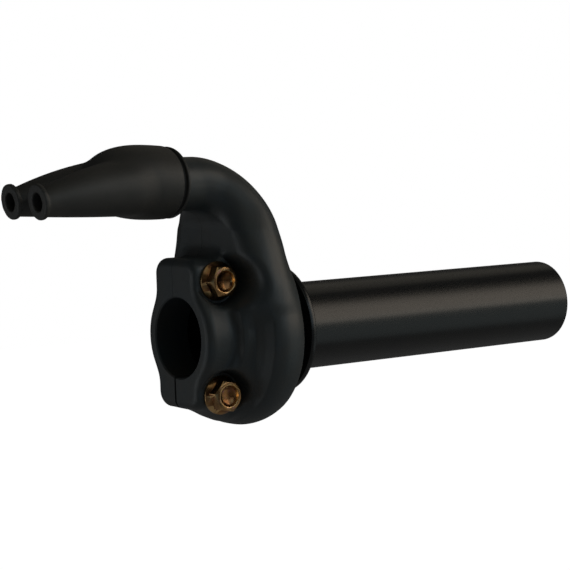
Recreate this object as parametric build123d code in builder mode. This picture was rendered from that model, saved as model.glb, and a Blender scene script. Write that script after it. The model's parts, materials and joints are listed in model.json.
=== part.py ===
from build123d import *

import os
from math import cos, radians, sin

# Push-pull twist throttle for the right-hand end of a motorcycle handlebar.
# The handlebar axis is X and +X points out along the bar, to the free end of the throttle
# tube. +Z points up the cable neck and +Y points forward, away from the rider. The origin is
# the centre of the handlebar bore, at the inboard face of the clamp. Sizes in millimetres.

# ---- Handlebar, clamp and bolts
BAR_RADIUS = 11.1  # 22.2 mm (7/8 inch) handlebar
CLAMP_BORE_LENGTH = 10.7
CLAMP_DEPTH = 13.5  # how far the clamp block reaches under the drum shoulder
LUG_TOP_Z = 21.7
LUG_BOTTOM_Z = -19.7
REAR_LUG_Y = -9.3  # flat outer faces of the lugs
FRONT_LUG_Y = 10.5
LUG_CORNER = 4.0
REAR_WALL_RADIUS = 15.3
FRONT_WALL_RADIUS = 14.7
CLAMP_EDGE = 2.2  # rounding of the casting round its inboard face
PARTING_Y = 1.7  # the halves meet in the plane y = PARTING_Y
JOINT_GAP = 0.7  # the lower lugs stay open when the upper ones are tight

BOLT_X = 7.2
BOLT_Z = 15.6
BOLT_RADIUS = 3.0  # M6
BOLT_LENGTH = 16.0
BOLT_HOLE_RADIUS = 3.3
SEAT_Y = -9.0  # plane that the bolt flanges seat on
SEAT_POCKET_RADIUS = 6.2
POCKET_REACH = 20.0  # how far the seat pockets cut outwards from the seat plane
FLANGE_RADIUS = 5.35
FLANGE_THICKNESS = 1.3
HEAD_HEIGHT = 4.6
HEAD_ACROSS_FLATS = 8.0
HEAD_DISH_RADIUS = 2.9
HEAD_DISH_DEPTH = 1.0
HEAD_CORNER_DROP = 1.2  # how far the crowned top falls away outside the flange's radius
HEAD_CROWN_RADIUS = 3.75
FLANGE_TAPER = 12.0
BOLT_TIP_CHAMFER = 0.6

# ---- Drum section of the housing
SHOULDER_START = (8.6, 15.3)  # axial place and radius where the shoulder leaves the clamp
SHOULDER_FOOT = (9.8, 17.8)
SHOULDER_TOP = (15.0, 24.0)
CROWN = (19.3, 25.9)
RIM_X = 25.0
RIM_RADIUS = 24.2
CHAMBER_START_X = 15.2
CHAMBER_END_X = 23.8
CHAMBER_RADIUS = 20.4
COUNTERBORE_RADIUS = 12.9  # takes the tube's plain inboard end
HUB_OPENING_RADIUS = 15.0
OVERLAP = 1.0  # how far a cutting solid passes the face that it opens

# ---- Cable neck, elbow and outlet
ELBOW_X = 4.8  # centre of the elbow's bend
ELBOW_Z = 29.2
ELBOW_RADIUS = 12.85  # of the duct's middle line
DUCT_HALF_DEPTH = 7.35
DUCT_CORNER = 6.9
CORNER_SHARE = 0.94  # the corners of a section never take more of its half depth
DUCT_WALL = 2.0
CHAMBER_CLEARANCE = 0.4  # between the duct's passage and each end wall of the drum chamber
PASSAGE_DROP = 4.0  # how far the passage starts below the neck's base
NECK_BASE_Z = 8.7
NECK_BASE_HALF_WIDTH = 23.2
NECK_BASE_Y = -0.8  # the neck leans a little towards the rider at its base
NECK_TOP_HALF_WIDTH = 16.2
OUTLET_HALF_WIDTH = 9.4
OUTLET_END_X = -12.0
BEAD_LENGTH = 2.0
BEAD_HEIGHT = 0.7

# ---- Throttle tube and cable drum
TUBE_BORE_RADIUS = 11.3
TUBE_RADIUS = 12.5
TUBE_START_X = 11.0
TUBE_END_X = 138.7
DRUM_START_X = 15.6
DRUM_END_X = 23.4
DRUM_RADIUS = 18.6
GROOVE_WIDTH = 2.4
GROOVE_BOTTOM_RADIUS = 15.4
CABLE_PITCH_RADIUS = 16.4
PULL_GROOVE_X = 17.7
RETURN_GROOVE_X = 21.3
HUB_RADIUS = 14.6
DUST_FLANGE_X = 32.2
DUST_FLANGE_THICKNESS = 2.0
DUST_FLANGE_RADIUS = 18.4
FLANGE_EDGE = 0.6  # rounding of the flange's rim
TUBE_END_EDGE = 0.8  # rounding of the tube's free end
NIPPLE_POCKET_RADIUS = 2.6
PULL_POCKET_ANGLE = 210.0  # angles run from +Y towards +Z, with the throttle closed
RETURN_POCKET_ANGLE = 255.0
STOP_LUG_ANGLE = 235.0
STOP_LUG_HALF_ANGLE = 6.0
STOP_LUG_RADIUS = 20.1
STOP_LUG_THICKNESS = 2.2
HOUSING_STOP_LENGTH = 2.5
THROTTLE_TRAVEL = 75.0
STOP_INNER_RADIUS = 18.95
STOP_ANGLE = 10.0  # angle that each stop in the housing takes
STOP_CLEARANCE_ANGLE = 1.0

# ---- Rollers in the elbow
ROLLER_X = ELBOW_X + ELBOW_RADIUS * cos(radians(45))
ROLLER_Z = ELBOW_Z + ELBOW_RADIUS * sin(radians(45))
ROLLER_RADIUS = 4.6
ROLLER_GROOVE_RADIUS = 1.05
ROLLER_PITCH_RADIUS = 4.1  # a quarter of the drum's, so a roller turns four times as far
ROLLER_WIDTH = 4.0
ROLLER_Y = 5.6
ROLLER_BORE_RADIUS = 1.56
PIN_RADIUS = 1.5
PIN_HALF_LENGTH = 11.0
PIN_END_CLEARANCE = 0.1
PIN_CHAMFER = 0.3  # on the roller pin and on the dowel
BOSS_RADIUS = 3.2
BOSS_FACE_Y = 7.8
SPACER_RADIUS = 2.6
SPACER_HALF_LENGTH = 3.4

# ---- Cable stop and dowel
STOP_BLOCK_X = -9.0
STOP_BLOCK_LENGTH = 5.0
STOP_RIB_LENGTH = 1.6
STOP_RIB_HEIGHT = 1.0
CABLE_Y = 4.3  # the two cables lie this far each side of the middle in the outlet
CASING_SEAT_RADIUS = 2.6
CASING_SEAT_DEPTH = 3.0
INNER_CABLE_HOLE_RADIUS = 1.3
DOWEL_RADIUS = 1.5
DOWEL_HALF_LENGTH = 4.0
DOWEL_END_CLEARANCE = 0.2
DOWEL_X = 19.5
DOWEL_Z = -23.2

# ---- Rubber boot
BOOT_RIM_X = -1.4
BOOT_WALL = 1.6
BOOT_CLEARANCE = 0.05
CONE_STATIONS = (  # axial place, sideways place, height and radius of each cable cone
    (-17.0, 5.0, 42.0, 7.4),
    (-25.0, 5.8, 41.45, 6.95),
    (-35.0, 6.6, 40.5, 5.5),
    (-43.5, 7.1, 39.4, 4.0),
)
BODY_STATIONS = (  # axial place, height, half width and half height of the boot's oval body
    (BOOT_RIM_X, 42.5, 11.5, 9.6),
    (-9.0, 42.8, 12.0, 10.15),
    (-17.0, 42.6, 11.9, 9.9),
    (-22.0, 42.0, 9.6, 8.2),
    (-24.5, 41.6, 6.5, 5.6),
)
NIPPLE_FACE = (-46.0, 7.2, 39.1)
NIPPLE_TILT = 7.0
NIPPLE_FLANGE_RADIUS = 4.6
NIPPLE_FLANGE_THICKNESS = 1.2
NIPPLE_BORE_RADIUS = 2.4
NIPPLE_NECK_RADIUS = 3.5
NIPPLE_BORE_LENGTH = 12.0
NIPPLE_NECK_LENGTH = 3.5
NIPPLE_EDGE = 0.3  # rounding of the flange and chamfer of its mouth
HOLLOW_Z = 41.95
HOLLOW_STATIONS = (  # axial place, half width and half height of the space behind the outlet
    (OUTLET_END_X, 9.0, 6.95),
    (-21.5, 5.8, 3.75),
)

TOLERANCE = 0.01  # for telling circles apart by their radius
PARTING = Plane.XZ.offset(-PARTING_Y)
ACROSS = Plane.XZ  # sketches here are drawn in X and Z, and extrude towards -Y


def elbow_plane(angle):
    """Return the section plane of the duct at an angle round the elbow, 0 being the neck."""
    out = (cos(radians(angle)), 0, sin(radians(angle)))
    centre = (ELBOW_X + ELBOW_RADIUS * out[0], 0, ELBOW_Z + ELBOW_RADIUS * out[2])
    return Plane(origin=centre, x_dir=out, z_dir=(-out[2], 0, out[0]))


def duct_half_width(angle):
    """Return the half width of the duct at an angle round the elbow."""
    share = (1 - cos(radians(2 * angle))) / 2
    return NECK_TOP_HALF_WIDTH + share * (OUTLET_HALF_WIDTH - NECK_TOP_HALF_WIDTH)


def duct(wall, base_x, base_half_depth, base_z, end_x):
    """Return the neck, elbow and outlet as one solid, its sides drawn in by a wall."""

    def section(half_depth, half_width):
        corner = min(DUCT_CORNER, CORNER_SHARE * half_depth) - wall
        RectangleRounded(2 * (half_depth - wall), 2 * (half_width - wall), corner)

    with BuildPart() as solid:
        with BuildSketch(Plane(origin=(base_x, NECK_BASE_Y, base_z))):
            section(base_half_depth + wall, NECK_BASE_HALF_WIDTH)
        with BuildSketch(elbow_plane(0)):
            section(DUCT_HALF_DEPTH, NECK_TOP_HALF_WIDTH)
        loft(ruled=True)
        for angle in (0, 22.5, 45, 67.5, 90):
            with BuildSketch(elbow_plane(angle)):
                section(DUCT_HALF_DEPTH, duct_half_width(angle))
        loft()
        with BuildSketch(elbow_plane(90)):
            section(DUCT_HALF_DEPTH, OUTLET_HALF_WIDTH)
        extrude(amount=ELBOW_X - end_x)
    return solid.part


def outlet_slab(start_x, length, growth):
    """Return a slab with the outlet's outline, grown outwards, from start_x towards the boot."""
    centre = (start_x, 0, ELBOW_Z + ELBOW_RADIUS)
    with BuildPart() as slab:
        with BuildSketch(Plane(origin=centre, x_dir=(0, 0, 1), z_dir=(-1, 0, 0))):
            RectangleRounded(
                2 * (DUCT_HALF_DEPTH + growth), 2 * (OUTLET_HALF_WIDTH + growth), DUCT_CORNER + growth
            )
        extrude(amount=length)
    return slab.part


def ring_sector(start_x, length, inner, outer, start_angle, angle):
    """Return a sector of a ring about the bar axis, its angle counted from +Y towards +Z."""
    with BuildPart() as sector:
        with BuildSketch(Plane.YZ.offset(start_x)):
            with BuildLine():
                far = CenterArc((0, 0), outer, start_angle, angle)
                near = CenterArc((0, 0), inner, start_angle, angle)
                Line(far @ 0, near @ 0)
                Line(far @ 1, near @ 1)
            make_face()
        extrude(amount=length)
    return sector.part


def housing_skin(wall_radius):
    """Return the closed outer form of both housing halves, with the clamp wall of one of them."""
    with BuildPart() as skin:
        with BuildSketch(Plane.YZ):
            with Locations(((REAR_LUG_Y + FRONT_LUG_Y) / 2, (LUG_TOP_Z + LUG_BOTTOM_Z) / 2)):
                RectangleRounded(FRONT_LUG_Y - REAR_LUG_Y, LUG_TOP_Z - LUG_BOTTOM_Z, LUG_CORNER)
            Circle(wall_radius)
        extrude(amount=CLAMP_DEPTH)
        inboard_face = skin.faces().sort_by(Axis.X)[0]
        fillet(inboard_face.edges(), radius=CLAMP_EDGE)
        with BuildSketch(ACROSS):
            with BuildLine():
                foot = Polyline((SHOULDER_START[0], 0), SHOULDER_START, SHOULDER_FOOT, SHOULDER_TOP)
                shoulder = TangentArc(SHOULDER_TOP, CROWN, tangent=foot % 1)
                dome = TangentArc(CROWN, (RIM_X, RIM_RADIUS), tangent=shoulder % 1)
                Polyline(dome @ 1, (RIM_X, 0), (SHOULDER_START[0], 0))
            make_face()
        revolve(axis=Axis.X)
        add(duct(0, ELBOW_X + ELBOW_RADIUS, DUCT_HALF_DEPTH, NECK_BASE_Z, OUTLET_END_X))
        add(outlet_slab(OUTLET_END_X + BEAD_LENGTH, BEAD_LENGTH, BEAD_HEIGHT))
    return skin.part


def turned_hollow():
    """Return the bar bore, the counterbore, the drum chamber and the hub opening as one solid."""
    with BuildPart() as hollow:
        with BuildSketch(ACROSS):
            with BuildLine():
                Polyline(
                    (-OVERLAP, 0),
                    (-OVERLAP, BAR_RADIUS),
                    (CLAMP_BORE_LENGTH, BAR_RADIUS),
                    (CLAMP_BORE_LENGTH, COUNTERBORE_RADIUS),
                    (CHAMBER_START_X, COUNTERBORE_RADIUS),
                    (CHAMBER_START_X, CHAMBER_RADIUS),
                    (CHAMBER_END_X, CHAMBER_RADIUS),
                    (CHAMBER_END_X, HUB_OPENING_RADIUS),
                    (RIM_X + OVERLAP, HUB_OPENING_RADIUS),
                    (RIM_X + OVERLAP, 0),
                    (-OVERLAP, 0),
                )
            make_face()
        revolve(axis=Axis.X)
    return hollow.part


def housing_half(skin, hollows, keep, side, stop_start_angle):
    """Return one half: side is -1 for the rear half and 1 for the front half."""
    stop = ring_sector(
        CHAMBER_START_X - OVERLAP,
        HOUSING_STOP_LENGTH + OVERLAP,
        STOP_INNER_RADIUS,
        CHAMBER_RADIUS + OVERLAP,
        stop_start_angle,
        STOP_ANGLE,
    )
    with BuildPart() as half:
        add(skin)
        for hollow in hollows:
            add(hollow, mode=Mode.SUBTRACT)
        add(stop)
        with BuildSketch(ACROSS.offset(-side * BOSS_FACE_Y)):
            with Locations((ROLLER_X, ROLLER_Z)):
                Circle(BOSS_RADIUS)
        extrude(amount=-side * (duct_half_width(45) - DUCT_WALL / 2 - BOSS_FACE_Y))
        split(bisect_by=PARTING, keep=keep)
        with BuildSketch(ACROSS):
            with Locations((ROLLER_X, ROLLER_Z)):
                Circle(PIN_RADIUS)
        extrude(amount=PIN_HALF_LENGTH, both=True, mode=Mode.SUBTRACT)
        with BuildSketch(PARTING):
            with Locations((DOWEL_X, DOWEL_Z)):
                Circle(DOWEL_RADIUS)
        extrude(amount=DOWEL_HALF_LENGTH, both=True, mode=Mode.SUBTRACT)
    return half.part


def clamp_bolt(height):
    """Return a dished hexagon flange bolt on the seat plane, at a height above the bar axis."""
    seat = Plane(origin=(BOLT_X, SEAT_Y, height), x_dir=(1, 0, 0), z_dir=(0, -1, 0))
    with BuildPart() as bolt:
        with BuildSketch(seat):
            Circle(FLANGE_RADIUS)
        extrude(amount=FLANGE_THICKNESS, taper=FLANGE_TAPER)
        with BuildSketch(seat):
            RegularPolygon(HEAD_ACROSS_FLATS / 2, 6, major_radius=False)
        extrude(amount=HEAD_HEIGHT)
        with BuildSketch(Plane(seat.origin, x_dir=(1, 0, 0), z_dir=(0, 0, 1))):
            with BuildLine():
                Polyline(
                    (0, -HEAD_HEIGHT - OVERLAP),
                    (FLANGE_RADIUS + OVERLAP, -HEAD_HEIGHT - OVERLAP),
                    (FLANGE_RADIUS + OVERLAP, -HEAD_HEIGHT + HEAD_CORNER_DROP),
                    (HEAD_CROWN_RADIUS, -HEAD_HEIGHT),
                    (HEAD_DISH_RADIUS, -HEAD_HEIGHT),
                    (0, -HEAD_HEIGHT + HEAD_DISH_DEPTH),
                    (0, -HEAD_HEIGHT - OVERLAP),
                )
            make_face()
        revolve(axis=Axis((BOLT_X, 0, height), (0, 1, 0)), mode=Mode.SUBTRACT)
        with BuildSketch(seat):
            Circle(BOLT_RADIUS)
        extrude(amount=-BOLT_LENGTH)
        chamfer(bolt.edges().sort_by(Axis.Y)[-1], length=BOLT_TIP_CHAMFER)
    return bolt.part


def cable_roller(middle_y):
    """Return a grooved roller on the elbow pin, centred sideways at middle_y."""
    sketch_plane = Plane(origin=(ROLLER_X, middle_y, ROLLER_Z), x_dir=(1, 0, 0), z_dir=(0, 0, 1))
    with BuildPart() as roller:
        with BuildSketch(sketch_plane):
            with Locations(((ROLLER_RADIUS + ROLLER_BORE_RADIUS) / 2, 0)):
                Rectangle(ROLLER_RADIUS - ROLLER_BORE_RADIUS, ROLLER_WIDTH)
            with Locations((ROLLER_PITCH_RADIUS, 0)):
                Circle(ROLLER_GROOVE_RADIUS, mode=Mode.SUBTRACT)
            with Locations((ROLLER_RADIUS, 0)):
                mouth = 2 * (ROLLER_RADIUS - ROLLER_PITCH_RADIUS)
                Rectangle(mouth, 2 * ROLLER_GROOVE_RADIUS, mode=Mode.SUBTRACT)
        revolve(axis=Axis((ROLLER_X, 0, ROLLER_Z), (0, 1, 0)))
    return roller.part


def boot_body(growth, last):
    """Return the boot's oval body, grown outwards, through its first stations."""
    with BuildPart() as body:
        for station_x, height, half_width, half_height in BODY_STATIONS[:last]:
            with BuildSketch(Plane(origin=(station_x, 0, height), x_dir=(0, 1, 0), z_dir=(-1, 0, 0))):
                Ellipse(half_width + growth, half_height + growth)
        loft()
    return body.part


def boot_cone(side, growth, last):
    """Return one cable cone of the boot, grown outwards. side is -1 or 1 along Y."""
    with BuildPart() as cone:
        for station_x, sideways, height, radius in CONE_STATIONS[:last]:
            with BuildSketch(Plane(origin=(station_x, side * sideways, height), z_dir=(-1, 0, 0))):
                Circle(radius + growth)
        loft()
    return cone.part


def nipple_plane(side):
    """Return the plane of a nipple's open face. Its normal points out of the boot."""
    lean = radians(NIPPLE_TILT)
    centre = (NIPPLE_FACE[0], side * NIPPLE_FACE[1], NIPPLE_FACE[2])
    return Plane(origin=centre, x_dir=(0, 1, 0), z_dir=(-cos(lean), 0, -sin(lean)))


def circles_of(built, radius):
    """Return the circular edges of one radius."""
    circles = built.edges().filter_by(GeomType.CIRCLE)
    return circles.filter_by(lambda rim: abs(rim.radius - radius) < TOLERANCE)


# ---- Housing halves
chamber_x = (CHAMBER_START_X + CHAMBER_END_X) / 2
duct_depth = (CHAMBER_END_X - CHAMBER_START_X) / 2 - CHAMBER_CLEARANCE
rib_x = STOP_BLOCK_X + (STOP_BLOCK_LENGTH + STOP_RIB_LENGTH) / 2
hollows = (
    turned_hollow(),
    duct(DUCT_WALL, chamber_x, duct_depth, NECK_BASE_Z - PASSAGE_DROP, OUTLET_END_X - OVERLAP),
    outlet_slab(rib_x, STOP_RIB_LENGTH, STOP_RIB_HEIGHT - DUCT_WALL),
)
stop_reach = STOP_LUG_HALF_ANGLE + STOP_CLEARANCE_ANGLE
closed_stop_angle = STOP_LUG_ANGLE - stop_reach - STOP_ANGLE
open_stop_angle = STOP_LUG_ANGLE + THROTTLE_TRAVEL + stop_reach
rear_half = housing_half(housing_skin(REAR_WALL_RADIUS), hollows, Keep.TOP, -1, closed_stop_angle)
front_half = housing_half(housing_skin(FRONT_WALL_RADIUS), hollows, Keep.BOTTOM, 1, open_stop_angle)
seat_planes = [
    Plane(origin=(BOLT_X, SEAT_Y - POCKET_REACH, height), x_dir=(1, 0, 0), z_dir=(0, -1, 0))
    for height in (BOLT_Z, -BOLT_Z)
]

with BuildPart() as rear_housing:
    add(rear_half)
    with Locations(*seat_planes):
        CounterBoreHole(BOLT_HOLE_RADIUS, SEAT_POCKET_RADIUS, POCKET_REACH)

with BuildPart() as front_housing:
    add(front_half)
    with Locations(*seat_planes):
        Hole(BOLT_RADIUS)
    with BuildSketch(ACROSS.offset(-PARTING_Y - JOINT_GAP)):
        with Locations((0, -BAR_RADIUS)):
            Rectangle(CLAMP_DEPTH, CROWN[1], align=(Align.MIN, Align.MAX))
    extrude(amount=JOINT_GAP + OVERLAP, mode=Mode.SUBTRACT)

# ---- Bolts, dowel, roller pin and spacer
upper_clamp_bolt = clamp_bolt(BOLT_Z)
lower_clamp_bolt = clamp_bolt(-BOLT_Z)

with BuildPart() as locating_dowel:
    with BuildSketch(PARTING):
        with Locations((DOWEL_X, DOWEL_Z)):
            Circle(DOWEL_RADIUS)
    extrude(amount=DOWEL_HALF_LENGTH - DOWEL_END_CLEARANCE, both=True)
    chamfer(locating_dowel.edges().filter_by(GeomType.CIRCLE), length=PIN_CHAMFER)

with BuildPart() as roller_pin:
    with BuildSketch(ACROSS):
        with Locations((ROLLER_X, ROLLER_Z)):
            Circle(PIN_RADIUS)
    extrude(amount=PIN_HALF_LENGTH - PIN_END_CLEARANCE, both=True)
    chamfer(roller_pin.edges().filter_by(GeomType.CIRCLE), length=PIN_CHAMFER)

with BuildPart() as roller_spacer:
    with BuildSketch(ACROSS):
        with Locations((ROLLER_X, ROLLER_Z)):
            Circle(SPACER_RADIUS)
            Circle(PIN_RADIUS, mode=Mode.SUBTRACT)
    extrude(amount=SPACER_HALF_LENGTH, both=True)

pull_cable_roller = cable_roller(-ROLLER_Y)
return_cable_roller = cable_roller(ROLLER_Y)

# ---- Cable stop, clamped in the outlet between the halves
block = outlet_slab(STOP_BLOCK_X + STOP_BLOCK_LENGTH, STOP_BLOCK_LENGTH, -DUCT_WALL)
rib = outlet_slab(rib_x, STOP_RIB_LENGTH, STOP_RIB_HEIGHT - DUCT_WALL)
cable_planes = [
    Plane(origin=(STOP_BLOCK_X, side * CABLE_Y, ELBOW_Z + ELBOW_RADIUS), z_dir=(-1, 0, 0))
    for side in (-1, 1)
]

with BuildPart() as cable_stop:
    add(block)
    add(rib)
    with Locations(*cable_planes):
        CounterBoreHole(INNER_CABLE_HOLE_RADIUS, CASING_SEAT_RADIUS, CASING_SEAT_DEPTH)

# ---- Throttle tube with its drum
stop_lug = ring_sector(
    DRUM_START_X,
    STOP_LUG_THICKNESS,
    GROOVE_BOTTOM_RADIUS - OVERLAP,
    STOP_LUG_RADIUS,
    STOP_LUG_ANGLE - STOP_LUG_HALF_ANGLE,
    2 * STOP_LUG_HALF_ANGLE,
)

with BuildPart() as throttle_tube:
    with BuildSketch(ACROSS):
        with BuildLine():
            Polyline(
                (TUBE_START_X, TUBE_BORE_RADIUS),
                (TUBE_START_X, TUBE_RADIUS),
                (DRUM_START_X, TUBE_RADIUS),
                (DRUM_START_X, DRUM_RADIUS),
                (DRUM_END_X, DRUM_RADIUS),
                (DRUM_END_X, HUB_RADIUS),
                (DUST_FLANGE_X, HUB_RADIUS),
                (DUST_FLANGE_X, DUST_FLANGE_RADIUS),
                (DUST_FLANGE_X + DUST_FLANGE_THICKNESS, DUST_FLANGE_RADIUS),
                (DUST_FLANGE_X + DUST_FLANGE_THICKNESS, TUBE_RADIUS),
                (TUBE_END_X, TUBE_RADIUS),
                (TUBE_END_X, TUBE_BORE_RADIUS),
                (TUBE_START_X, TUBE_BORE_RADIUS),
            )
        make_face()
        for groove_x in (PULL_GROOVE_X, RETURN_GROOVE_X):
            with Locations((groove_x, GROOVE_BOTTOM_RADIUS)):
                depth = DRUM_RADIUS - GROOVE_BOTTOM_RADIUS + OVERLAP
                Rectangle(GROOVE_WIDTH, depth, align=(Align.CENTER, Align.MIN), mode=Mode.SUBTRACT)
    revolve(axis=Axis.X)
    fillet(circles_of(throttle_tube, DUST_FLANGE_RADIUS), radius=FLANGE_EDGE)
    end_rims = throttle_tube.edges().filter_by(GeomType.CIRCLE).group_by(Axis.X)[-1]
    fillet(end_rims.sort_by(SortBy.RADIUS)[-1], radius=TUBE_END_EDGE)
    add(stop_lug)
    pocket_places = (
        (DRUM_START_X - OVERLAP, PULL_GROOVE_X + GROOVE_WIDTH / 2, PULL_POCKET_ANGLE),
        (RETURN_GROOVE_X - GROOVE_WIDTH / 2, DRUM_END_X + OVERLAP, RETURN_POCKET_ANGLE),
    )
    for start_x, end_x, angle in pocket_places:
        with BuildSketch(Plane.YZ.offset(start_x)):
            with PolarLocations(CABLE_PITCH_RADIUS, 1, start_angle=angle):
                Circle(NIPPLE_POCKET_RADIUS)
        extrude(amount=end_x - start_x, mode=Mode.SUBTRACT)

# ---- Rubber boot over the outlet, with one cone and one nipple for each cable
outer_parts = [boot_body(0, 5)] + [boot_cone(side, 0, 4) for side in (-1, 1)]
inner_parts = [boot_cone(side, -BOOT_WALL, 3) for side in (-1, 1)]
sleeve_depth = BOOT_RIM_X - OUTLET_END_X + OVERLAP
socket = outlet_slab(BOOT_RIM_X + OVERLAP, sleeve_depth, BOOT_CLEARANCE)
groove_start_x = OUTLET_END_X + BEAD_LENGTH + BOOT_CLEARANCE
bead_groove = outlet_slab(groove_start_x, BEAD_LENGTH + 10 * BOOT_CLEARANCE, BEAD_HEIGHT + BOOT_CLEARANCE)
with BuildPart() as boot_hollow:
    for station_x, half_width, half_height in HOLLOW_STATIONS:
        with BuildSketch(Plane(origin=(station_x, 0, HOLLOW_Z), x_dir=(0, 1, 0), z_dir=(-1, 0, 0))):
            Ellipse(half_width, half_height)
    loft()

with BuildPart() as cable_boot:
    for piece in outer_parts:
        add(piece)
    for side in (-1, 1):
        with BuildSketch(nipple_plane(side)):
            Circle(NIPPLE_FLANGE_RADIUS)
        extrude(amount=-NIPPLE_FLANGE_THICKNESS)
        with BuildSketch(nipple_plane(side)):
            Circle(NIPPLE_NECK_RADIUS)
        extrude(amount=-NIPPLE_NECK_LENGTH)
    for piece in [socket, bead_groove, boot_hollow.part] + inner_parts:
        add(piece, mode=Mode.SUBTRACT)
    for side in (-1, 1):
        with BuildSketch(nipple_plane(side)):
            Circle(NIPPLE_BORE_RADIUS)
        extrude(amount=-NIPPLE_BORE_LENGTH, mode=Mode.SUBTRACT)
    fillet(circles_of(cable_boot, NIPPLE_FLANGE_RADIUS), radius=NIPPLE_EDGE)
    chamfer(circles_of(cable_boot, NIPPLE_BORE_RADIUS).sort_by(Axis.X)[:2], length=NIPPLE_EDGE)

# ---- Write one STEP file for each piece
pieces = {
    "rear_housing": rear_housing.part,
    "front_housing": front_housing.part,
    "upper_clamp_bolt": upper_clamp_bolt,
    "lower_clamp_bolt": lower_clamp_bolt,
    "locating_dowel": locating_dowel.part,
    "roller_pin": roller_pin.part,
    "roller_spacer": roller_spacer.part,
    "pull_cable_roller": pull_cable_roller,
    "return_cable_roller": return_cable_roller,
    "cable_stop": cable_stop.part,
    "throttle_tube": throttle_tube.part,
    "cable_boot": cable_boot.part,
}
os.makedirs("parts", exist_ok=True)
for name, piece in pieces.items():
    piece.label = name
    export_step(piece, f"parts/{name}.step")
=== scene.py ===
import json
import math

import bmesh
import bpy
import numpy as np
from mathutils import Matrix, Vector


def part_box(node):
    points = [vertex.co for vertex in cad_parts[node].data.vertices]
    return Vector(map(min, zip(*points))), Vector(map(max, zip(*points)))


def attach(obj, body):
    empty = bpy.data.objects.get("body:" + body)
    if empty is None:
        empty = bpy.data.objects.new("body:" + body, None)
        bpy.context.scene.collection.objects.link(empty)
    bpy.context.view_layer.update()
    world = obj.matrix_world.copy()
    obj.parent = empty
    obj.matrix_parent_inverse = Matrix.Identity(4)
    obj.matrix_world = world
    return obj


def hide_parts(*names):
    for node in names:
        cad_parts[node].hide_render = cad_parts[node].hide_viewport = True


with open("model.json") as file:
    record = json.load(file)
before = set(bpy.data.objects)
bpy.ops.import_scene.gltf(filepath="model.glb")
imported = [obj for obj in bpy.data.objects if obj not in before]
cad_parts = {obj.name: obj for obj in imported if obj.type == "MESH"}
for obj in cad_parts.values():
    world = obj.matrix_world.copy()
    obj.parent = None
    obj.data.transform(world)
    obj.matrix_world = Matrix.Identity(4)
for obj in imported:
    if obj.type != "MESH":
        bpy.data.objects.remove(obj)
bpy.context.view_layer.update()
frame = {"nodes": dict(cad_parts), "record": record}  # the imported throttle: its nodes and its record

import openvdb
from mathutils import Matrix, Vector

# The throttle is modelled in millimetres and scaled to metres as each mesh is made.
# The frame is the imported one: X runs out along the handlebar, Z up the cable neck, and Y
# forward, away from the rider.
MM = 0.001


def node_size(name):
    """Return a node's lowest and highest corners, in millimetres."""
    low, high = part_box(name)
    return low / MM, high / MM


# ---- Sizes read from the frame
rear_low, rear_high = node_size("rear_housing")
_, front_high = node_size("front_housing")
tube_low, tube_high = node_size("throttle_tube")
boot_low, boot_high = node_size("cable_boot")
bolt_low, bolt_high = node_size("upper_clamp_bolt")
lower_bolt_low, _ = node_size("lower_clamp_bolt")
pin_low, pin_high = node_size("roller_pin")
dowel_low, dowel_high = node_size("locating_dowel")
mounts = {mount["name"]: mount for mount in frame["record"]["mounts"]}
BAR_RADIUS = mounts["bar_clamp"]["dims"]["r_mm"]
TUBE_BORE_RADIUS = mounts["tube_bore"]["dims"]["r_mm"]
TUBE_RADIUS = mounts["grip_seat"]["dims"]["r_mm"]
NIPPLE_BORE_RADIUS = mounts["pull_cable_exit"]["dims"]["r_mm"]
bolt_middle = (bolt_low + bolt_high) / 2
pin_middle = (pin_low + pin_high) / 2

# ---- Sizes of the casting, in millimetres
CASTING_STEP = 0.35  # of the grid that the skin is drawn on
PARTING_Y = 1.7
PARTING_GAP = 0.1
LOWER_JOINT_GAP = 0.7
CLAMP_DEPTH = 13.5
CLAMP_EDGE = 2.4
LUG_TOP_Z = 21.7
LUG_BOTTOM_Z = -19.7
REAR_LUG_Y = -9.3
FRONT_LUG_Y = 11.35
LUG_CORNER = 4.4
CLAMP_WALL_RADIUS = 15.5
CLAMP_BORE_LENGTH = 10.7
RIM_X = 25.0
CROWN_X = 19.3
CROWN_RADIUS = 25.9
CROWN_DOME = 12.0  # radius of the outboard side's bulge
CHAMBER_START_X = 15.2
CHAMBER_END_X = 23.8
CHAMBER_RADIUS = 20.4
COUNTERBORE_RADIUS = 12.9
HUB_OPENING_RADIUS = 15.0
SEAT_Y = -9.0
SEAT_RADIUS = 6.2
POCKET_DRAFT = 0.2
BOLT_RADIUS = 3.0
BOLT_HOLE_RADIUS = 3.3
PIN_RADIUS = 1.5  # of the roller pin and the dowel
ELBOW_X = 4.8
ELBOW_Z = 29.2
ELBOW_RADIUS = 12.85
DUCT_HALF_DEPTH = 7.35
DUCT_CORNER = 6.9
DUCT_WALL = 2.0
ELBOW_FLAT = 0.25  # how much flatter than a quarter circle the back of the bend is
OUTLET_HALF_WIDTH = 9.4
OUTLET_END_X = -12.0
OUTLET_Z = ELBOW_Z + ELBOW_RADIUS
BEAD_HEIGHT = 0.7
BEAD_HALF_LENGTH = 2.0
PIN_BOSS_RADIUS = 3.2
PIN_BOSS_Y = 7.8  # where the bosses that hold the roller pin end
DUCT_HALF_WIDTHS = (  # way along the duct's middle from the foot of the elbow, and half width
    (-34.0, 8.0),
    (-29.2, 14.5),
    (-24.2, 20.6),
    (-20.5, 23.2),
    (-15.2, 23.3),
    (-9.2, 21.7),
    (-4.2, 20.0),
    (0.0, 18.6),
    (5.0, 16.2),
    (10.1, 13.2),
    (15.1, 10.5),
    (20.2, 9.4),
    (38.0, 9.4),
)
DUCT_MIDDLE_Y = (  # the same ways along, and the middle's place across
    (-20.5, -0.8),
    (-4.2, -0.6),
    (0.0, 0.0),
    (6.0, 0.6),
    (20.2, 0.0),
)
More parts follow.
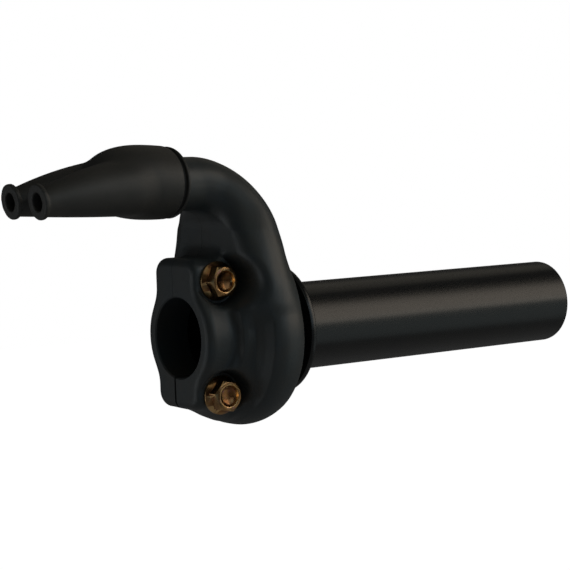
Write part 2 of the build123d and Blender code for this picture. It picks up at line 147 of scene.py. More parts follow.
FAIRING_OUTLINE = [  # axial place and radius of the run-out between the lower lug and the drum
    (3.0, 0.0),
    (3.0, 19.3),
    (6.0, 21.3),
    (8.5, 22.7),
    (12.0, 24.2),
    (15.0, 24.7),
    (18.0, 24.3),
    (18.0, 0.0),
]


# ---- Small mesh tools
def mesh_object(name, points, faces):
    """Make a linked object from points in millimetres and faces, with its normals outwards."""
    mesh = bpy.data.meshes.new(name)
    mesh.from_pydata([[c * MM for c in p] for p in points], [], faces)
    made = bpy.data.objects.new(name, mesh)
    bpy.context.scene.collection.objects.link(made)
    face_outwards(made)
    return made


def face_outwards(piece):
    """Merge a mesh's doubles and turn all its faces outwards."""
    work = bmesh.new()
    work.from_mesh(piece.data)
    bmesh.ops.remove_doubles(work, verts=work.verts, dist=1e-7)
    bmesh.ops.recalc_face_normals(work, faces=work.faces)
    if work.calc_volume(signed=True) < 0:
        bmesh.ops.reverse_faces(work, faces=work.faces)
    work.to_mesh(piece.data)
    work.free()


def settle(piece):
    """Turn a piece and its modifiers into a plain mesh."""
    graph = bpy.context.evaluated_depsgraph_get()
    mesh = bpy.data.meshes.new_from_object(piece.evaluated_get(graph))
    piece.modifiers.clear()
    piece.data = mesh
    return piece


def combine(piece, tools, operation):
    """Cut, join or intersect a piece with tools in turn, and remove the tools."""
    for tool in tools:
        step = piece.modifiers.new("combine", "BOOLEAN")
        step.operation = operation
        step.solver = "MANIFOLD"
        step.object = tool
        settle(piece)
        bpy.data.objects.remove(tool)
    return piece


def shade(piece, angle):
    """Shade a piece smooth, with edges sharper than an angle in degrees kept sharp."""
    piece.data.shade_smooth()
    piece.data.set_sharp_from_angle(angle=math.radians(angle))
    return piece


def lathe(name, profile, segments, middle=(0, 0, 0), axis="X"):
    """Turn a closed profile of (along, radius) points round an axis through middle."""
    rings = []
    for along, radius in profile:
        if radius < 1e-9:
            turns = [(along, 0, 0)]
        else:
            angles = [2 * math.pi * k / segments for k in range(segments)]
            turns = [(along, radius * math.cos(a), radius * math.sin(a)) for a in angles]
        rings.append(turns)
    points, starts = [], []
    for ring in rings:
        starts.append(len(points))
        points += ring
    faces = []
    for i, ring in enumerate(rings):
        j = (i + 1) % len(rings)
        here, there = len(ring), len(rings[j])
        for k in range(segments):
            n = (k + 1) % segments
            near = [starts[i] + k % here, starts[i] + n % here]
            far = [starts[j] + n % there, starts[j] + k % there]
            corners = list(dict.fromkeys(near + far))
            if len(corners) > 2:
                faces.append(corners)
    order = {"X": (0, 1, 2), "Y": (1, 0, 2)}[axis]
    placed = [[p[order[i]] + middle[i] for i in range(3)] for p in points]
    return mesh_object(name, placed, faces)


def block(name, low, high):
    """Make a box between two corners."""
    corners = [[(low, high)[(i >> axis) & 1][axis] for axis in range(3)] for i in range(8)]
    faces = [(0, 1, 3, 2), (4, 6, 7, 5), (0, 4, 5, 1), (2, 3, 7, 6), (0, 2, 6, 4), (1, 5, 7, 3)]
    return mesh_object(name, corners, faces)


def drill(name, radius, x, z, start_y, end_y):
    """Make a rod along Y, to cut a hole with."""
    profile = [(start_y, 0), (start_y, radius), (end_y, radius), (end_y, 0)]
    return lathe(name, profile, 64, (x, 0, z), "Y")


# ---- Distance fields, for cast and moulded skins
def blend_union(a, b, radius):
    """Join two distance fields with a fillet."""
    share = np.clip(0.5 + 0.5 * (b - a) / radius, 0, 1)
    return b + (a - b) * share - radius * share * (1 - share)


def blend_cut(a, b, radius):
    """Cut the field b out of a, with the edges rounded."""
    return -blend_union(-a, b, radius)


def rounded_rectangle(u, v, half_u, half_v, corner):
    """Return the distance to a rectangle with rounded corners."""
    over_u = np.abs(u) - half_u + corner
    over_v = np.abs(v) - half_v + corner
    outside = np.hypot(np.maximum(over_u, 0), np.maximum(over_v, 0))
    return outside + np.minimum(np.maximum(over_u, over_v), 0) - corner


def slab(plan, beyond, rounding):
    """Give a plan's field a thickness: beyond is the distance past its two faces."""
    a = plan + rounding
    b = beyond + rounding
    return np.minimum(np.maximum(a, b), 0) + np.hypot(np.maximum(a, 0), np.maximum(b, 0)) - rounding


def profile_field(u, v, points):
    """Return the distance to a closed outline in the plane of u and v, negative inside."""
    nearest = np.inf
    inside = np.zeros(np.broadcast(u, v).shape, bool)
    for (au, av), (bu, bv) in zip(points, points[1:] + points[:1]):
        du, dv = bu - au, bv - av
        share = np.clip(((u - au) * du + (v - av) * dv) / (du * du + dv * dv), 0, 1)
        nearest = np.minimum(nearest, (u - au - du * share) ** 2 + (v - av - dv * share) ** 2)
        if av != bv:
            crossed = (v >= min(av, bv)) & (v < max(av, bv)) & (u < au + (v - av) * du / dv)
            inside ^= crossed
    return np.where(inside, -1, 1) * np.sqrt(nearest)


def skin(name, field, low, high, step):
    """Mesh the zero level of a field over a box, both in millimetres."""
    counts = [int((b - a) / step) + 2 for a, b in zip(low, high)]
    x = low[0] + step * np.arange(counts[0])[:, None, None]
    y = low[1] + step * np.arange(counts[1])[None, :, None]
    z = low[2] + step * np.arange(counts[2])[None, None, :]
    reach = 3 * step
    values = np.clip(field(x, y, z), -reach, reach).astype(np.float32)
    grid = openvdb.FloatGrid(background=reach)
    grid.copyFromArray(values)
    points, triangles, quads = grid.convertToPolygons(isovalue=0.0, adaptivity=0.0)
    faces = [list(map(int, f)) for f in triangles] + [list(map(int, f)) for f in quads]
    return mesh_object(name, (points * step + np.array(low)).tolist(), faces)


# ---- Housing
def faired(place, stations, reach):
    """Read a table of (place, size) stations as a fair curve, its corners rounded over a reach."""
    places = np.linspace(stations[0][0] - reach, stations[-1][0] + reach, 600)
    sizes = np.interp(places, *zip(*stations))
    window = np.hanning(2 * int(reach / (places[1] - places[0])) + 1)
    padded = np.pad(sizes, len(window) // 2, mode="edge")
    return np.interp(place, places, np.convolve(padded, window / window.sum(), mode="valid"))


def duct_field(x, y, z, wall):
    """Distance to the neck, elbow and outlet, with its sides drawn in by a wall."""
    bend = np.arctan2(np.maximum(z - ELBOW_Z, 0), np.maximum(x - ELBOW_X, 1e-6))
    around = (z > ELBOW_Z) & (x > ELBOW_X)
    straight = z <= ELBOW_Z
    reach = np.hypot(x - ELBOW_X, z - ELBOW_Z) - ELBOW_RADIUS
    across = np.where(straight, x - ELBOW_X - ELBOW_RADIUS, z - OUTLET_Z)
    across = np.where(around, reach, across)
    outlet_start = ELBOW_RADIUS * math.pi / 2
    along = np.where(around, ELBOW_RADIUS * bend, outlet_start + ELBOW_X - x)
    along = np.where(straight, z - ELBOW_Z, along)
    half_width = faired(along, DUCT_HALF_WIDTHS, 3.0)
    pull = np.where(around, ELBOW_FLAT * np.sin(2 * bend), 0)
    middle_y = faired(along, DUCT_MIDDLE_Y, 3.0)
    return rounded_rectangle(
        across + pull,
        y - middle_y,
        DUCT_HALF_DEPTH - pull - wall,
        half_width - wall,
        DUCT_CORNER - wall,
    )


def drum_outline():
    """Return the drum section's outline of (axial, radius) points, from clamp to past the rim."""
    steps = 8
    # A thin ridge round the clamp's wall, then a valley before the crown.
    points = [(7.0, 0.0), (8.4, 14.8), (9.3, 18.2), (10.4, 18.8), (12.5, 19.4), (13.9, 21.8)]
    for k in range(1, steps):
        turn = math.radians(140 - 50 * k / steps)
        points.append((CROWN_X + 5.9 * math.cos(turn), CROWN_RADIUS - 5.0 + 5.0 * math.sin(turn)))
    for k in range(steps + 1):
        turn = math.radians(90 - 36 * k / steps)
        radius = CROWN_RADIUS - CROWN_DOME + CROWN_DOME * math.sin(turn)
        points.append((CROWN_X + CROWN_DOME * math.cos(turn), radius))
    points.append((points[-1][0], 0.0))
    return points


def casting_field(x, y, z):
    """Distance to the whole casting: clamp, drum section, neck, elbow and outlet in one skin."""
    radius = np.hypot(y, z)
    lug = rounded_rectangle(
        y - (REAR_LUG_Y + FRONT_LUG_Y) / 2,
        z - (LUG_TOP_Z + LUG_BOTTOM_Z) / 2,
        (FRONT_LUG_Y - REAR_LUG_Y) / 2,
        (LUG_TOP_Z - LUG_BOTTOM_Z) / 2,
        LUG_CORNER,
    )
    plan = blend_union(lug, radius - CLAMP_WALL_RADIUS, 2.5)
    clamp = slab(plan, np.abs(x - CLAMP_DEPTH / 2) - CLAMP_DEPTH / 2, CLAMP_EDGE)
    drum = profile_field(x, radius, drum_outline())
    body = blend_union(drum, clamp, 2.2)
    # Under the clamp the drum section runs out in a long fairing, which fades to its sides.
    fairing = profile_field(x, radius, FAIRING_OUTLINE)
    fairing = fairing + 0.016 * np.maximum(np.abs(y) - 2, 0) ** 2
    fairing = fairing + 0.02 * np.maximum(z + 16, 0) ** 2
    body = blend_union(body, np.maximum(fairing, z), 2.0)
    duct = np.maximum(duct_field(x, y, z, 0.0), OUTLET_END_X - 1 - x)
    # Below the drum's middle the neck sinks away under the skin.
    duct = duct + 0.02 * np.maximum(9 - z, 0) ** 2
    body = blend_union(body, np.maximum(duct, -12 - z), 4.0)
    for height in (bolt_middle.z, -bolt_middle.z):
        out = SEAT_Y - y
        beside = x - bolt_middle.x
        # The pocket has a crisp, open edge towards the clamp and a soft wall towards the drum.
        inner_side = np.clip(beside / 4, 0, 1)
        draft = POCKET_DRAFT * (1 - inner_side)
        pocket = np.hypot(beside, z - height) - SEAT_RADIUS - draft * np.maximum(out, 0)
        body = blend_cut(body, np.maximum(pocket, -out), 0.8 + 2.0 * inner_side)
    bead = rounded_rectangle(
        y,
        z - OUTLET_Z,
        OUTLET_HALF_WIDTH + BEAD_HEIGHT,
        DUCT_HALF_DEPTH + BEAD_HEIGHT,
        DUCT_CORNER,
    )
    bead = np.maximum(bead, np.abs(x - OUTLET_END_X) - BEAD_HALF_LENGTH)
    body = blend_union(body, bead, 0.6)
    # The passage keeps a wall under the skin, and it is open at the outlet.
    passage = duct_field(x, y, z, DUCT_WALL)
    shell = np.maximum(body + DUCT_WALL * 0.8, np.maximum(16.0 - x, -z) * (z < 20))
    passage = np.maximum(passage, np.where(x < -6, passage, shell))
    boss = np.hypot(x - pin_middle.x, z - pin_middle.z) - PIN_BOSS_RADIUS
    boss = np.maximum(boss, PIN_BOSS_Y - np.abs(y))
    return np.maximum(body, -np.maximum(passage, -boss))


def turned_cutter():
    """Return the bar bore, counterbore, drum chamber and hub opening as one turned tool."""
    edge = 0.35
    profile = [
        (-1, 0),
        (-1, BAR_RADIUS + edge + 1),
        (edge, BAR_RADIUS),
        (CLAMP_BORE_LENGTH, BAR_RADIUS),
        (CLAMP_BORE_LENGTH, COUNTERBORE_RADIUS),
        (CHAMBER_START_X, COUNTERBORE_RADIUS),
        (CHAMBER_START_X, CHAMBER_RADIUS),
        (CHAMBER_END_X, CHAMBER_RADIUS),
        (CHAMBER_END_X, HUB_OPENING_RADIUS),
        (RIM_X - edge, HUB_OPENING_RADIUS),
        (RIM_X + 1, HUB_OPENING_RADIUS + edge + 1),
        (RIM_X + 1, 0),
    ]
    return lathe("turned cutter", profile, 160)


def housing_half(name, blank, side):
    """Machine one half out of a copy of the casting: side is -1 for the rear, 1 for the front."""
    half = bpy.data.objects.new(name, blank.data.copy())
    bpy.context.scene.collection.objects.link(half)
    face = PARTING_Y + side * PARTING_GAP / 2
    far = side * 60
    low, high = sorted((face, far))
    combine(half, [block("keep", (OUTLET_END_X, low, -60), (RIM_X, high, 80))], "INTERSECT")
    tools = [turned_cutter()]
    for height in (bolt_middle.z, -bolt_middle.z):
        radius = BOLT_HOLE_RADIUS if side < 0 else BOLT_RADIUS
        tools.append(drill("bolt hole", radius, bolt_middle.x, height, -40, 40))
        if side < 0:
            tools.append(drill("seat", SEAT_RADIUS - 0.4, bolt_middle.x, height, -40, SEAT_Y))
    for pin, low, high in (("pin", pin_low, pin_high), ("dowel", dowel_low, dowel_high)):
        middle = (low + high) / 2
        tools.append(drill(pin + " hole", PIN_RADIUS, middle.x, middle.z, low.y, high.y))
    if side > 0:
        relief_high = (CLAMP_DEPTH - 1, PARTING_Y + LOWER_JOINT_GAP, -8)
        tools.append(block("joint relief", (-1, 0, -40), relief_high))
    combine(half, tools, "DIFFERENCE")
    return shade(half, 32)


casting = skin(
    "casting",
    casting_field,
    (OUTLET_END_X - 3, rear_low.y - 1.5, rear_low.z - 1.5),
    (RIM_X + 2.5, front_high.y + 1.5, rear_high.z + 1.5),
    CASTING_STEP,
)
rear_cover = housing_half("rear_cover", casting, -1)
front_cover = housing_half("front_cover", casting, 1)
bpy.data.objects.remove(casting)


# ---- Throttle tube
def tube_profile():
    """Return the tube's closed profile of (along, radius) points."""
    flange_x = 32.2
    flange_radius = 18.4
    start, end = tube_low.x, tube_high.x
    return [
        (start, TUBE_BORE_RADIUS),
        (start, TUBE_RADIUS - 0.3),
        (start + 0.3, TUBE_RADIUS),
        (15.6, TUBE_RADIUS),
        (15.6, 18.6),
        (16.5, 18.6),
        (16.5, 15.4),
        (18.9, 15.4),
        (18.9, 18.6),
        (20.1, 18.6),
        (20.1, 15.4),
        (22.5, 15.4),
        (22.5, 18.6),
        (23.4, 18.6),
        (23.4, 14.6),
        (flange_x - 0.5, 14.6),
        (flange_x - 0.15, 14.75),
        (flange_x, 15.1),
        (flange_x, flange_radius - 0.6),
        (flange_x + 0.18, flange_radius - 0.18),
        (flange_x + 0.6, flange_radius),
        (flange_x + 1.4, flange_radius),
        (flange_x + 1.82, flange_radius - 0.18),
        (flange_x + 2.0, flange_radius - 0.6),
        (flange_x + 2.0, TUBE_RADIUS + 0.8),
        (flange_x + 2.23, TUBE_RADIUS + 0.23),
        (flange_x + 2.8, TUBE_RADIUS),
        (end - 0.8, TUBE_RADIUS),
        (end - 0.35, TUBE_RADIUS - 0.1),
        (end - 0.1, TUBE_RADIUS - 0.35),
        (end, TUBE_RADIUS - 0.7),
        (end, TUBE_BORE_RADIUS + 0.2),
        (end - 0.2, TUBE_BORE_RADIUS),
    ]


grip_tube = shade(lathe("grip_tube", tube_profile(), 192), 40)


# ---- Cable boot
NIPPLE_FACE = Vector(mounts["pull_cable_exit"]["pos_m"]) / MM
NIPPLE_AXIS = Vector(mounts["pull_cable_exit"]["axis"]).normalized()
BOOT_RIM_X = boot_high.x
BOOT_WALL = 1.6
BOOT_STEP = 0.3
NIPPLE_RADIUS = 4.72
NIPPLE_LENGTH = 1.3


def boot_field(x, y, z):
    """Distance to the rubber boot: an oval sleeve that parts into two cable cones."""
    # Oval sleeve, widest over the outlet's bead, with a groove behind the lip of its rim.
    inward = np.clip((-9 - x) / 18.4, 0, 1)
    outward = np.clip((x + 9) / 7.6, 0, 1.2)
    size = np.sqrt(np.maximum(1 - inward**2.4, 1e-4)) - 0.035 * outward**2
    half_height = 10.1 * size
    half_width = 11.95 * size
    height = 42.5 - 0.045 * x
    scale = np.hypot(y / half_width, (z - height) / half_height)
    sleeve = (scale - 1) * np.minimum(half_width, half_height)
    sleeve = np.maximum(sleeve, np.maximum(x - BOOT_RIM_X, -28 - x))
    # Cones, which curve down and in towards the nipples.
    t = np.clip((-x - 15) / 28.5, -0.2, 1.05)
    cone_y = 4.8 + 2.3 * t
    cone_z = 42.0 - 0.9 * t - 1.9 * t**2
    cone_radius = 7.8 - 1.2 * t - 2.6 * t**2 - 25 * np.maximum(0.12 - t, 0) ** 2
    beside = np.abs(y) - cone_y
    cone = np.hypot(beside, z - cone_z) - cone_radius
    cone_ends = np.maximum(-44.8 - x, x + 12)
    groove = np.maximum(-1.0 - sleeve, np.abs(x - BOOT_RIM_X + 1.5) - 0.6)
    sleeve_skin = blend_cut(sleeve, groove, 0.3)
    outer = blend_union(sleeve_skin, np.maximum(cone, cone_ends), 1.2)
    # Nipples with a flange.
    along = (x - NIPPLE_FACE.x) * NIPPLE_AXIS.x + (z - NIPPLE_FACE.z) * NIPPLE_AXIS.z
    lift = (x - NIPPLE_FACE.x) * -NIPPLE_AXIS.z + (z - NIPPLE_FACE.z) * NIPPLE_AXIS.x
    round_nipple = np.hypot(np.abs(y) - abs(NIPPLE_FACE.y), lift)
    flange_ends = np.abs(along + NIPPLE_LENGTH / 2) - NIPPLE_LENGTH / 2
    flange = slab(round_nipple - NIPPLE_RADIUS, flange_ends, 0.3)
    outer = blend_union(outer, flange, 0.7)
    # Hollow, open at the rim and at the nipples.
    bore = np.maximum(round_nipple - NIPPLE_BORE_RADIUS, -along - 14)
    sleeve_hollow = np.maximum(sleeve + BOOT_WALL, -21 - x)
    cone_hollow = np.maximum(cone + BOOT_WALL, np.maximum(-36 - x, x + 12))
    hollow = np.minimum(sleeve_hollow, cone_hollow)
    hollow = np.where(x > OUTLET_END_X + 4, (scale - 1) * 10 + BOOT_WALL, hollow)
    shell = np.maximum(outer, -hollow)
    return blend_cut(shell, bore, 0.25)


boot = skin(
    "boot",
    boot_field,
    (boot_low.x - 1, boot_low.y - 1, boot_low.z - 1),
    (boot_high.x + 1, boot_high.y + 1, boot_high.z + 1),
    BOOT_STEP,
)
shade(boot, 60)


# ---- Clamp bolts
def flange_bolt():
    """Make a hexagon flange bolt with a dished head, its seat at y = 0, its head towards -Y."""
    across_flats, head, flange_radius, flange_edge = 8.0, 4.6, 5.35, 0.7
    corner = across_flats / 2 / math.cos(math.radians(30))
    ring = [math.radians(60 * k) for k in range(6)]
    hexagon = [(corner * math.cos(a), y, corner * math.sin(a)) for y in (0.2, -head) for a in ring]
    sides = [(k, (k + 1) % 6, 6 + (k + 1) % 6, 6 + k) for k in range(6)]
    bolt = mesh_object("bolt", hexagon, sides + [tuple(range(6)), tuple(range(6, 12))])
    chamfer = [(1, 0), (1, corner + 1), (-head + 0.75, corner + 0.3)]
    chamfer += [(-head, across_flats / 2 - 0.25), (-head, 0)]
    combine(bolt, [lathe("chamfer", chamfer, 96, axis="Y")], "INTERSECT")
    flange = [
        (0, 0),
        (0, flange_radius),
        (-flange_edge, flange_radius),
        (-1.6, 4.3),
        (-2.1, 3.6),
        (-2.1, 0),
    ]
    combine(bolt, [lathe("flange", flange, 96, axis="Y")], "UNION")
    dish = [(-head - 1, 0), (-head - 1, 3.1), (-head + 0.05, 2.95), (-head + 0.55, 2.7)]
    for angle in (15, 30, 45, 60, 75):
        turn = math.radians(angle)
        dish.append((-head + 0.55 + 0.75 * math.sin(turn), 2.7 * math.cos(turn)))
    dish.append((-head + 1.3, 0))
    combine(bolt, [lathe("dish", dish, 96, axis="Y")], "DIFFERENCE")
    shank = [(-1, 0), (-1, 2.6), (15.4, 2.6), (16, 2.0), (16, 0)]
    combine(bolt, [lathe("shank", shank, 48, axis="Y")], "UNION")
    soften = bolt.modifiers.new("soften", "BEVEL")
    soften.width = 0.14 * MM
    soften.segments = 2
    soften.limit_method = "ANGLE"
    soften.angle_limit = math.radians(24)
    return settle(bolt)


def node(tree, kind, settings=None, **inputs):
    """Add a node, with its settings and its inputs: values, or the sockets that feed them."""
    made = tree.nodes.new(kind)
    for name, value in (settings or {}).items():
        setattr(made, name, value)
    for name, value in inputs.items():
        socket = made.inputs[int(name[1:])] if name[0] == "_" else made.inputs[name.replace("_", " ")]
        if isinstance(value, bpy.types.NodeSocket):
            tree.links.new(value, socket)
        else:
            socket.default_value = value
    return made


def linear(colour):
    """Turn an sRGB hex colour into linear RGBA."""
    parts = [int(colour[i : i + 2], 16) / 255 for i in (1, 3, 5)]
    return tuple(c / 12.92 if c <= 0.04045 else ((c + 0.055) / 1.055) ** 2.4 for c in parts) + (1.0,)


def material(name):
    """Make a material and return it with its node tree and its surface shader."""
    made = bpy.data.materials.new(name)
    made.use_nodes = True
    tree = made.node_tree
    return made, tree, tree.nodes["Principled BSDF"]


def surface(name, tones, patch_mm, grain_mm, gloss, relief_mm, metallic=0.0):
    """Make a finish: two tones in soft patches, and a fine grain in its gloss and its relief."""
    made, tree, shader = material(name)
    place = node(tree, "ShaderNodeTexCoord").outputs["Object"]
    patches = node(tree, "ShaderNodeTexNoise", Vector=place, Scale=1 / (patch_mm * MM), Detail=3.0)
    share = node(
        tree, "ShaderNodeMapRange", Value=patches.outputs["Fac"], From_Min=0.3, From_Max=0.7
    ).outputs["Result"]
    first, second = (linear(tone) for tone in tones)
    tone = node(tree, "ShaderNodeMix", {"data_type": "RGBA"}, _0=share, _6=first, _7=second)
    grain_scale = 1 / (grain_mm * MM)
    grain = node(
        tree, "ShaderNodeTexNoise", Vector=place, Scale=grain_scale, Detail=3.0, Roughness=0.6
    )
    fine = grain.outputs["Fac"]
    low, high = gloss
    dull = node(
        tree, "ShaderNodeMapRange", Value=fine, From_Min=0.3, From_Max=0.7, To_Min=low, To_Max=high
    )
    relief = node(tree, "ShaderNodeBump", Height=fine, Strength=1.0, Distance=relief_mm * MM)
    tree.links.new(tone.outputs[2], shader.inputs["Base Color"])
    tree.links.new(dull.outputs["Result"], shader.inputs["Roughness"])
    tree.links.new(relief.outputs["Normal"], shader.inputs["Normal"])
    shader.inputs["Metallic"].default_value = metallic
    return made


def satin_black_casting():
    """Die-cast aluminium, blasted and sprayed satin black: a fine orange peel in the gloss."""
    tones = ("#343a3c", "#3c3c39")
    return surface("satin_black_paint_on_die_casting", tones, 8.0, 0.3, (0.36, 0.5), 0.006)


def moulded_nylon():
    """Injection-moulded black nylon: smooth and satin, with a faint mottle from the tool."""
    return surface("moulded_black_nylon", ("#0e1011", "#151514"), 6.0, 0.4, (0.23, 0.32), 0.002)


def moulded_rubber():
    """Compression-moulded black rubber: matte, faintly bloomed, with the soft grain of its mould."""
    return surface("moulded_black_rubber", ("#343330", "#3d3b37"), 10.0, 0.35, (0.46, 0.62), 0.012)


def yellow_zinc():
    """Steel with yellow chromated zinc plating: gold to bronze, with pink and green films."""
    tones = ("#b47c4a", "#563a2a")
    made = surface("yellow_chromated_zinc_on_steel", tones, 2.4, 0.5, (0.16, 0.26), 0.003, 1.0)
    tree = made.node_tree
    shader = tree.nodes["Principled BSDF"]
    tone = shader.inputs["Base Color"].links[0].from_socket
    place = node(tree, "ShaderNodeTexCoord").outputs["Object"]
    # The colours of the film come in blotches about a millimetre across.
    for shift, (colour, low, high) in enumerate((("#8f8258", 0.58, 0.72), ("#a8607a", 0.58, 0.72))):
        moved = node(tree, "ShaderNodeMapping", Vector=place, Location=(0.05 + 0.03 * shift, 0.0, 0.02))
        place_film = moved.outputs[0]
        film = node(tree, "ShaderNodeTexNoise", Vector=place_film, Scale=1 / (1.1 * MM), Detail=2.0)
        film = film.outputs["Fac"]
        share = node(tree, "ShaderNodeMapRange", Value=film, From_Min=low, From_Max=high, To_Max=0.4)
        share = share.outputs["Result"]
        layer = node(tree, "ShaderNodeMix", {"data_type": "RGBA"}, _0=share, _6=tone, _7=linear(colour))
        tone = layer.outputs[2]
    # A painted highlight: on sharp edges the plating's colour is lightened towards pale gold, standing in for the
    # light that the edges catch.
    edges = node(tree, "ShaderNodeNewGeometry").outputs["Pointiness"]
    painted_edge_highlight = node(tree, "ShaderNodeMapRange", Value=edges, From_Min=0.505, From_Max=0.55, To_Max=0.9)
    share = painted_edge_highlight.outputs["Result"]
    layer = node(tree, "ShaderNodeMix", {"data_type": "RGBA"}, _0=share, _6=tone, _7=linear("#f2c88c"))
    tree.links.new(layer.outputs[2], shader.inputs["Base Color"])
    return made


def machined_metal(name, tones, gloss):
    """A bare turned or ground metal, with the fine marks of its tool."""
    return surface(name, tones, 3.0, 0.25, gloss, 0.003, 1.0)


def turned_acetal():
    """Natural acetal, turned from rod: milky white with a waxy shine."""
    return surface("turned_natural_acetal", ("#e0dccf", "#e8e4d8"), 2.0, 0.3, (0.3, 0.42), 0.004)


def finish_piece(piece, body, finish, nodes):
    """Give a new piece its material and its body, and hide the nodes that it stands for."""
    piece.data.materials.clear()
    piece.data.materials.append(finish)
    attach(piece, body)
    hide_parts(*nodes)


def bolt_pair(prototype, plating):
    """Set the bolt at both of its places with geometry nodes, and return the pair as one mesh."""
    tree = bpy.data.node_groups.new("bolt pair", "GeometryNodeTree")
    tree.interface.new_socket("Geometry", in_out="OUTPUT", socket_type="NodeSocketGeometry")
    sockets = {
        "Bolt": "NodeSocketObject",
        "Upper place": "NodeSocketVector",
        "Spacing": "NodeSocketFloat",
        "Turn": "NodeSocketFloat",
        "Plating": "NodeSocketMaterial",
    }
    identifiers = {}
    for name, kind in sockets.items():
        socket = tree.interface.new_socket(name, in_out="INPUT", socket_type=kind)
        identifiers[name] = socket.identifier
    given = tree.nodes.new("NodeGroupInput").outputs
    down = node(tree, "ShaderNodeCombineXYZ", Z=given["Spacing"])
    start = given["Upper place"]
    line = node(tree, "GeometryNodeMeshLine", Count=2, Start_Location=start, Offset=down.outputs[0])
    source = node(tree, "GeometryNodeObjectInfo", Object=given["Bolt"])
    index = node(tree, "GeometryNodeInputIndex")
    angle = node(
        tree, "ShaderNodeMath", {"operation": "MULTIPLY"}, _0=index.outputs[0], _1=given["Turn"]
    )
    turn = node(tree, "ShaderNodeCombineXYZ", Y=angle.outputs[0])
    bolt = source.outputs["Geometry"]
    placed = node(tree, "GeometryNodeInstanceOnPoints", Points=line.outputs[0], Instance=bolt)
    tree.links.new(turn.outputs[0], placed.inputs["Rotation"])
    real = node(tree, "GeometryNodeRealizeInstances", Geometry=placed.outputs[0])
    coat = given["Plating"]
    coated = node(tree, "GeometryNodeSetMaterial", Geometry=real.outputs[0], Material=coat)
    tree.links.new(coated.outputs[0], tree.nodes.new("NodeGroupOutput").inputs[0])

    pair = bpy.data.objects.new("clamp_bolts", bpy.data.meshes.new("clamp_bolts"))
    bpy.context.scene.collection.objects.link(pair)
    step = pair.modifiers.new("bolts", "NODES")
    step.node_group = tree
    step[identifiers["Bolt"]] = prototype
    step[identifiers["Upper place"]] = Vector((bolt_middle.x, SEAT_Y, bolt_middle.z)) * MM
    step[identifiers["Spacing"]] = (lower_bolt_low.z - bolt_low.z) * MM
    step[identifiers["Turn"]] = math.radians(11)
    step[identifiers["Plating"]] = plating
    settle(pair)
    bpy.data.objects.remove(prototype)
    return pair


# ---- Dress the assembly
paint = satin_black_casting()
plating = yellow_zinc()
finish_piece(rear_cover, "housing", paint, ["rear_housing"])
finish_piece(front_cover, "housing", paint, ["front_housing"])
finish_piece(grip_tube, "tube", moulded_nylon(), ["throttle_tube"])
finish_piece(boot, "housing", moulded_rubber(), ["cable_boot"])
clamp_bolts = shade(bolt_pair(flange_bolt(), plating), 30)
bolt_nodes = ["upper_clamp_bolt", "lower_clamp_bolt"]
finish_piece(clamp_bolts, "housing", plating, bolt_nodes)

cad_finishes = {
    "locating_dowel": machined_metal("ground_dowel_steel", ("#85868a", "#8f9094"), (0.2, 0.3)),
    "roller_pin": machined_metal("ground_pin_steel", ("#8d8e93", "#97989d"), (0.18, 0.28)),
    "roller_spacer": machined_metal("turned_steel", ("#7d7e82", "#88898d"), (0.28, 0.4)),
    "pull_cable_roller": turned_acetal(),
    "return_cable_roller": turned_acetal(),
    "cable_stop": machined_metal("machined_aluminium", ("#bcbdbf", "#c6c7c9"), (0.26, 0.4)),
}
for name, finish in cad_finishes.items():
    frame["nodes"][name].data.materials.clear()
    frame["nodes"][name].data.materials.append(finish)


# ---- Studio
def camera(place, azimuth, elevation, roll, lens):
    """Set the camera by its place in millimetres and its aim, in degrees."""
    a, e, r = (math.radians(angle) for angle in (azimuth, elevation, roll))
    back = Vector((math.sin(a) * math.cos(e), -math.cos(a) * math.cos(e), math.sin(e)))
    right = Vector((math.cos(a), math.sin(a), 0))
    up = back.cross(right)
    turned_right = right * math.cos(r) + up * math.sin(r)
    turned_up = up * math.cos(r) - right * math.sin(r)
    data = bpy.data.cameras.new("camera")
    data.lens = lens
    data.sensor_width = 36.0
    data.clip_start, data.clip_end = 0.01, 20.0
    made = bpy.data.objects.new("camera", data)
    made.matrix_world = Matrix((turned_right, turned_up, back)).transposed().to_4x4()
    made.location = Vector(place) * MM
    bpy.context.scene.collection.objects.link(made)
    bpy.context.scene.camera = made


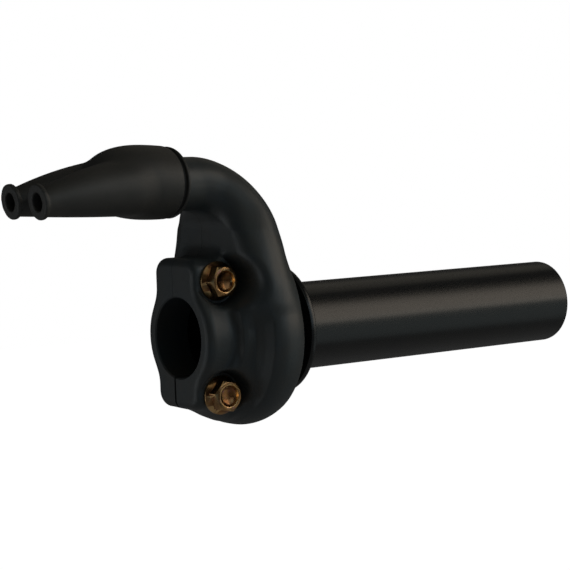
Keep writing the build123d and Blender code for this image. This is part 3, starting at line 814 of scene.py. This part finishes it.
def softbox(name, azimuth, elevation, colour):
    """Hang a square area light round the throttle, in degrees from X, facing it."""
    a, e = math.radians(azimuth), math.radians(elevation)
    towards = Vector((math.cos(a) * math.cos(e), math.sin(a) * math.cos(e), math.sin(e)))
    light = bpy.data.lights.new(name, "AREA")
    light.size = 650 * MM
    light.energy = math.pi * light.size**2
    light.color = colour
    made = bpy.data.objects.new(name, light)
    made.location = (Vector((30, 0, 15)) + towards * 900) * MM
    made.rotation_mode = "QUATERNION"
    made.rotation_quaternion = towards.to_track_quat("Z", "Y")
    made.visible_camera = False
    bpy.context.scene.collection.objects.link(made)


def studio():
    """Lay a plain pale floor, hang the softboxes and set a white surround."""
    corners = [(6000 * x, 6000 * y, -700) for x, y in ((-1, -1), (1, -1), (1, 1), (-1, 1))]
    floor = mesh_object("floor", corners, [(0, 1, 2, 3)])
    floor_paint, tree, shader = material("pale_floor")
    shader.inputs["Base Color"].default_value = (0.3, 0.3, 0.3, 1)
    shader.inputs["Roughness"].default_value = 1.0
    shader.inputs["Emission Color"].default_value = (1, 1, 1, 1)
    seen = node(tree, "ShaderNodeLightPath").outputs["Is Camera Ray"]
    glow = node(tree, "ShaderNodeMapRange", Value=seen, To_Min=0.06, To_Max=1.0)
    tree.links.new(glow.outputs["Result"], shader.inputs["Emission Strength"])
    floor.data.materials.append(floor_paint)
    # The surround is white to the camera and dim to the throttle, which the softboxes light.
    world = bpy.data.worlds.new("surround")
    bpy.context.scene.world = world
    world.use_nodes = True
    tree = world.node_tree
    seen = node(tree, "ShaderNodeLightPath").outputs["Is Camera Ray"]
    bright = node(tree, "ShaderNodeMapRange", Value=seen, To_Min=0.03, To_Max=1.0)
    background = tree.nodes["Background"]
    background.inputs["Color"].default_value = (1, 1, 1, 1)
    tree.links.new(bright.outputs["Result"], background.inputs["Strength"])
    softbox("key_softbox", 321, 22, (1.4, 1.24, 1.05))
    softbox("front_softbox", 285, 22, (0.44, 0.55, 0.62))
    softbox("low_softbox", 320, -12, (0.22, 0.26, 0.26))
    softbox("rear_softbox", 155, -10, (0.52, 0.56, 0.58))
    softbox("left_softbox", 240, -12, (0.04, 0.07, 0.10))
    softbox("top_softbox", 240, 52, (0.22, 0.23, 0.20))
    softbox("back_softbox", 40, 38, (0.12, 0.11, 0.09))
    bpy.context.scene.view_settings.view_transform = "Standard"


camera((-274.53, -416.62, 50.22), -36.81, 4.20, -1.81, 115.45)
studio()
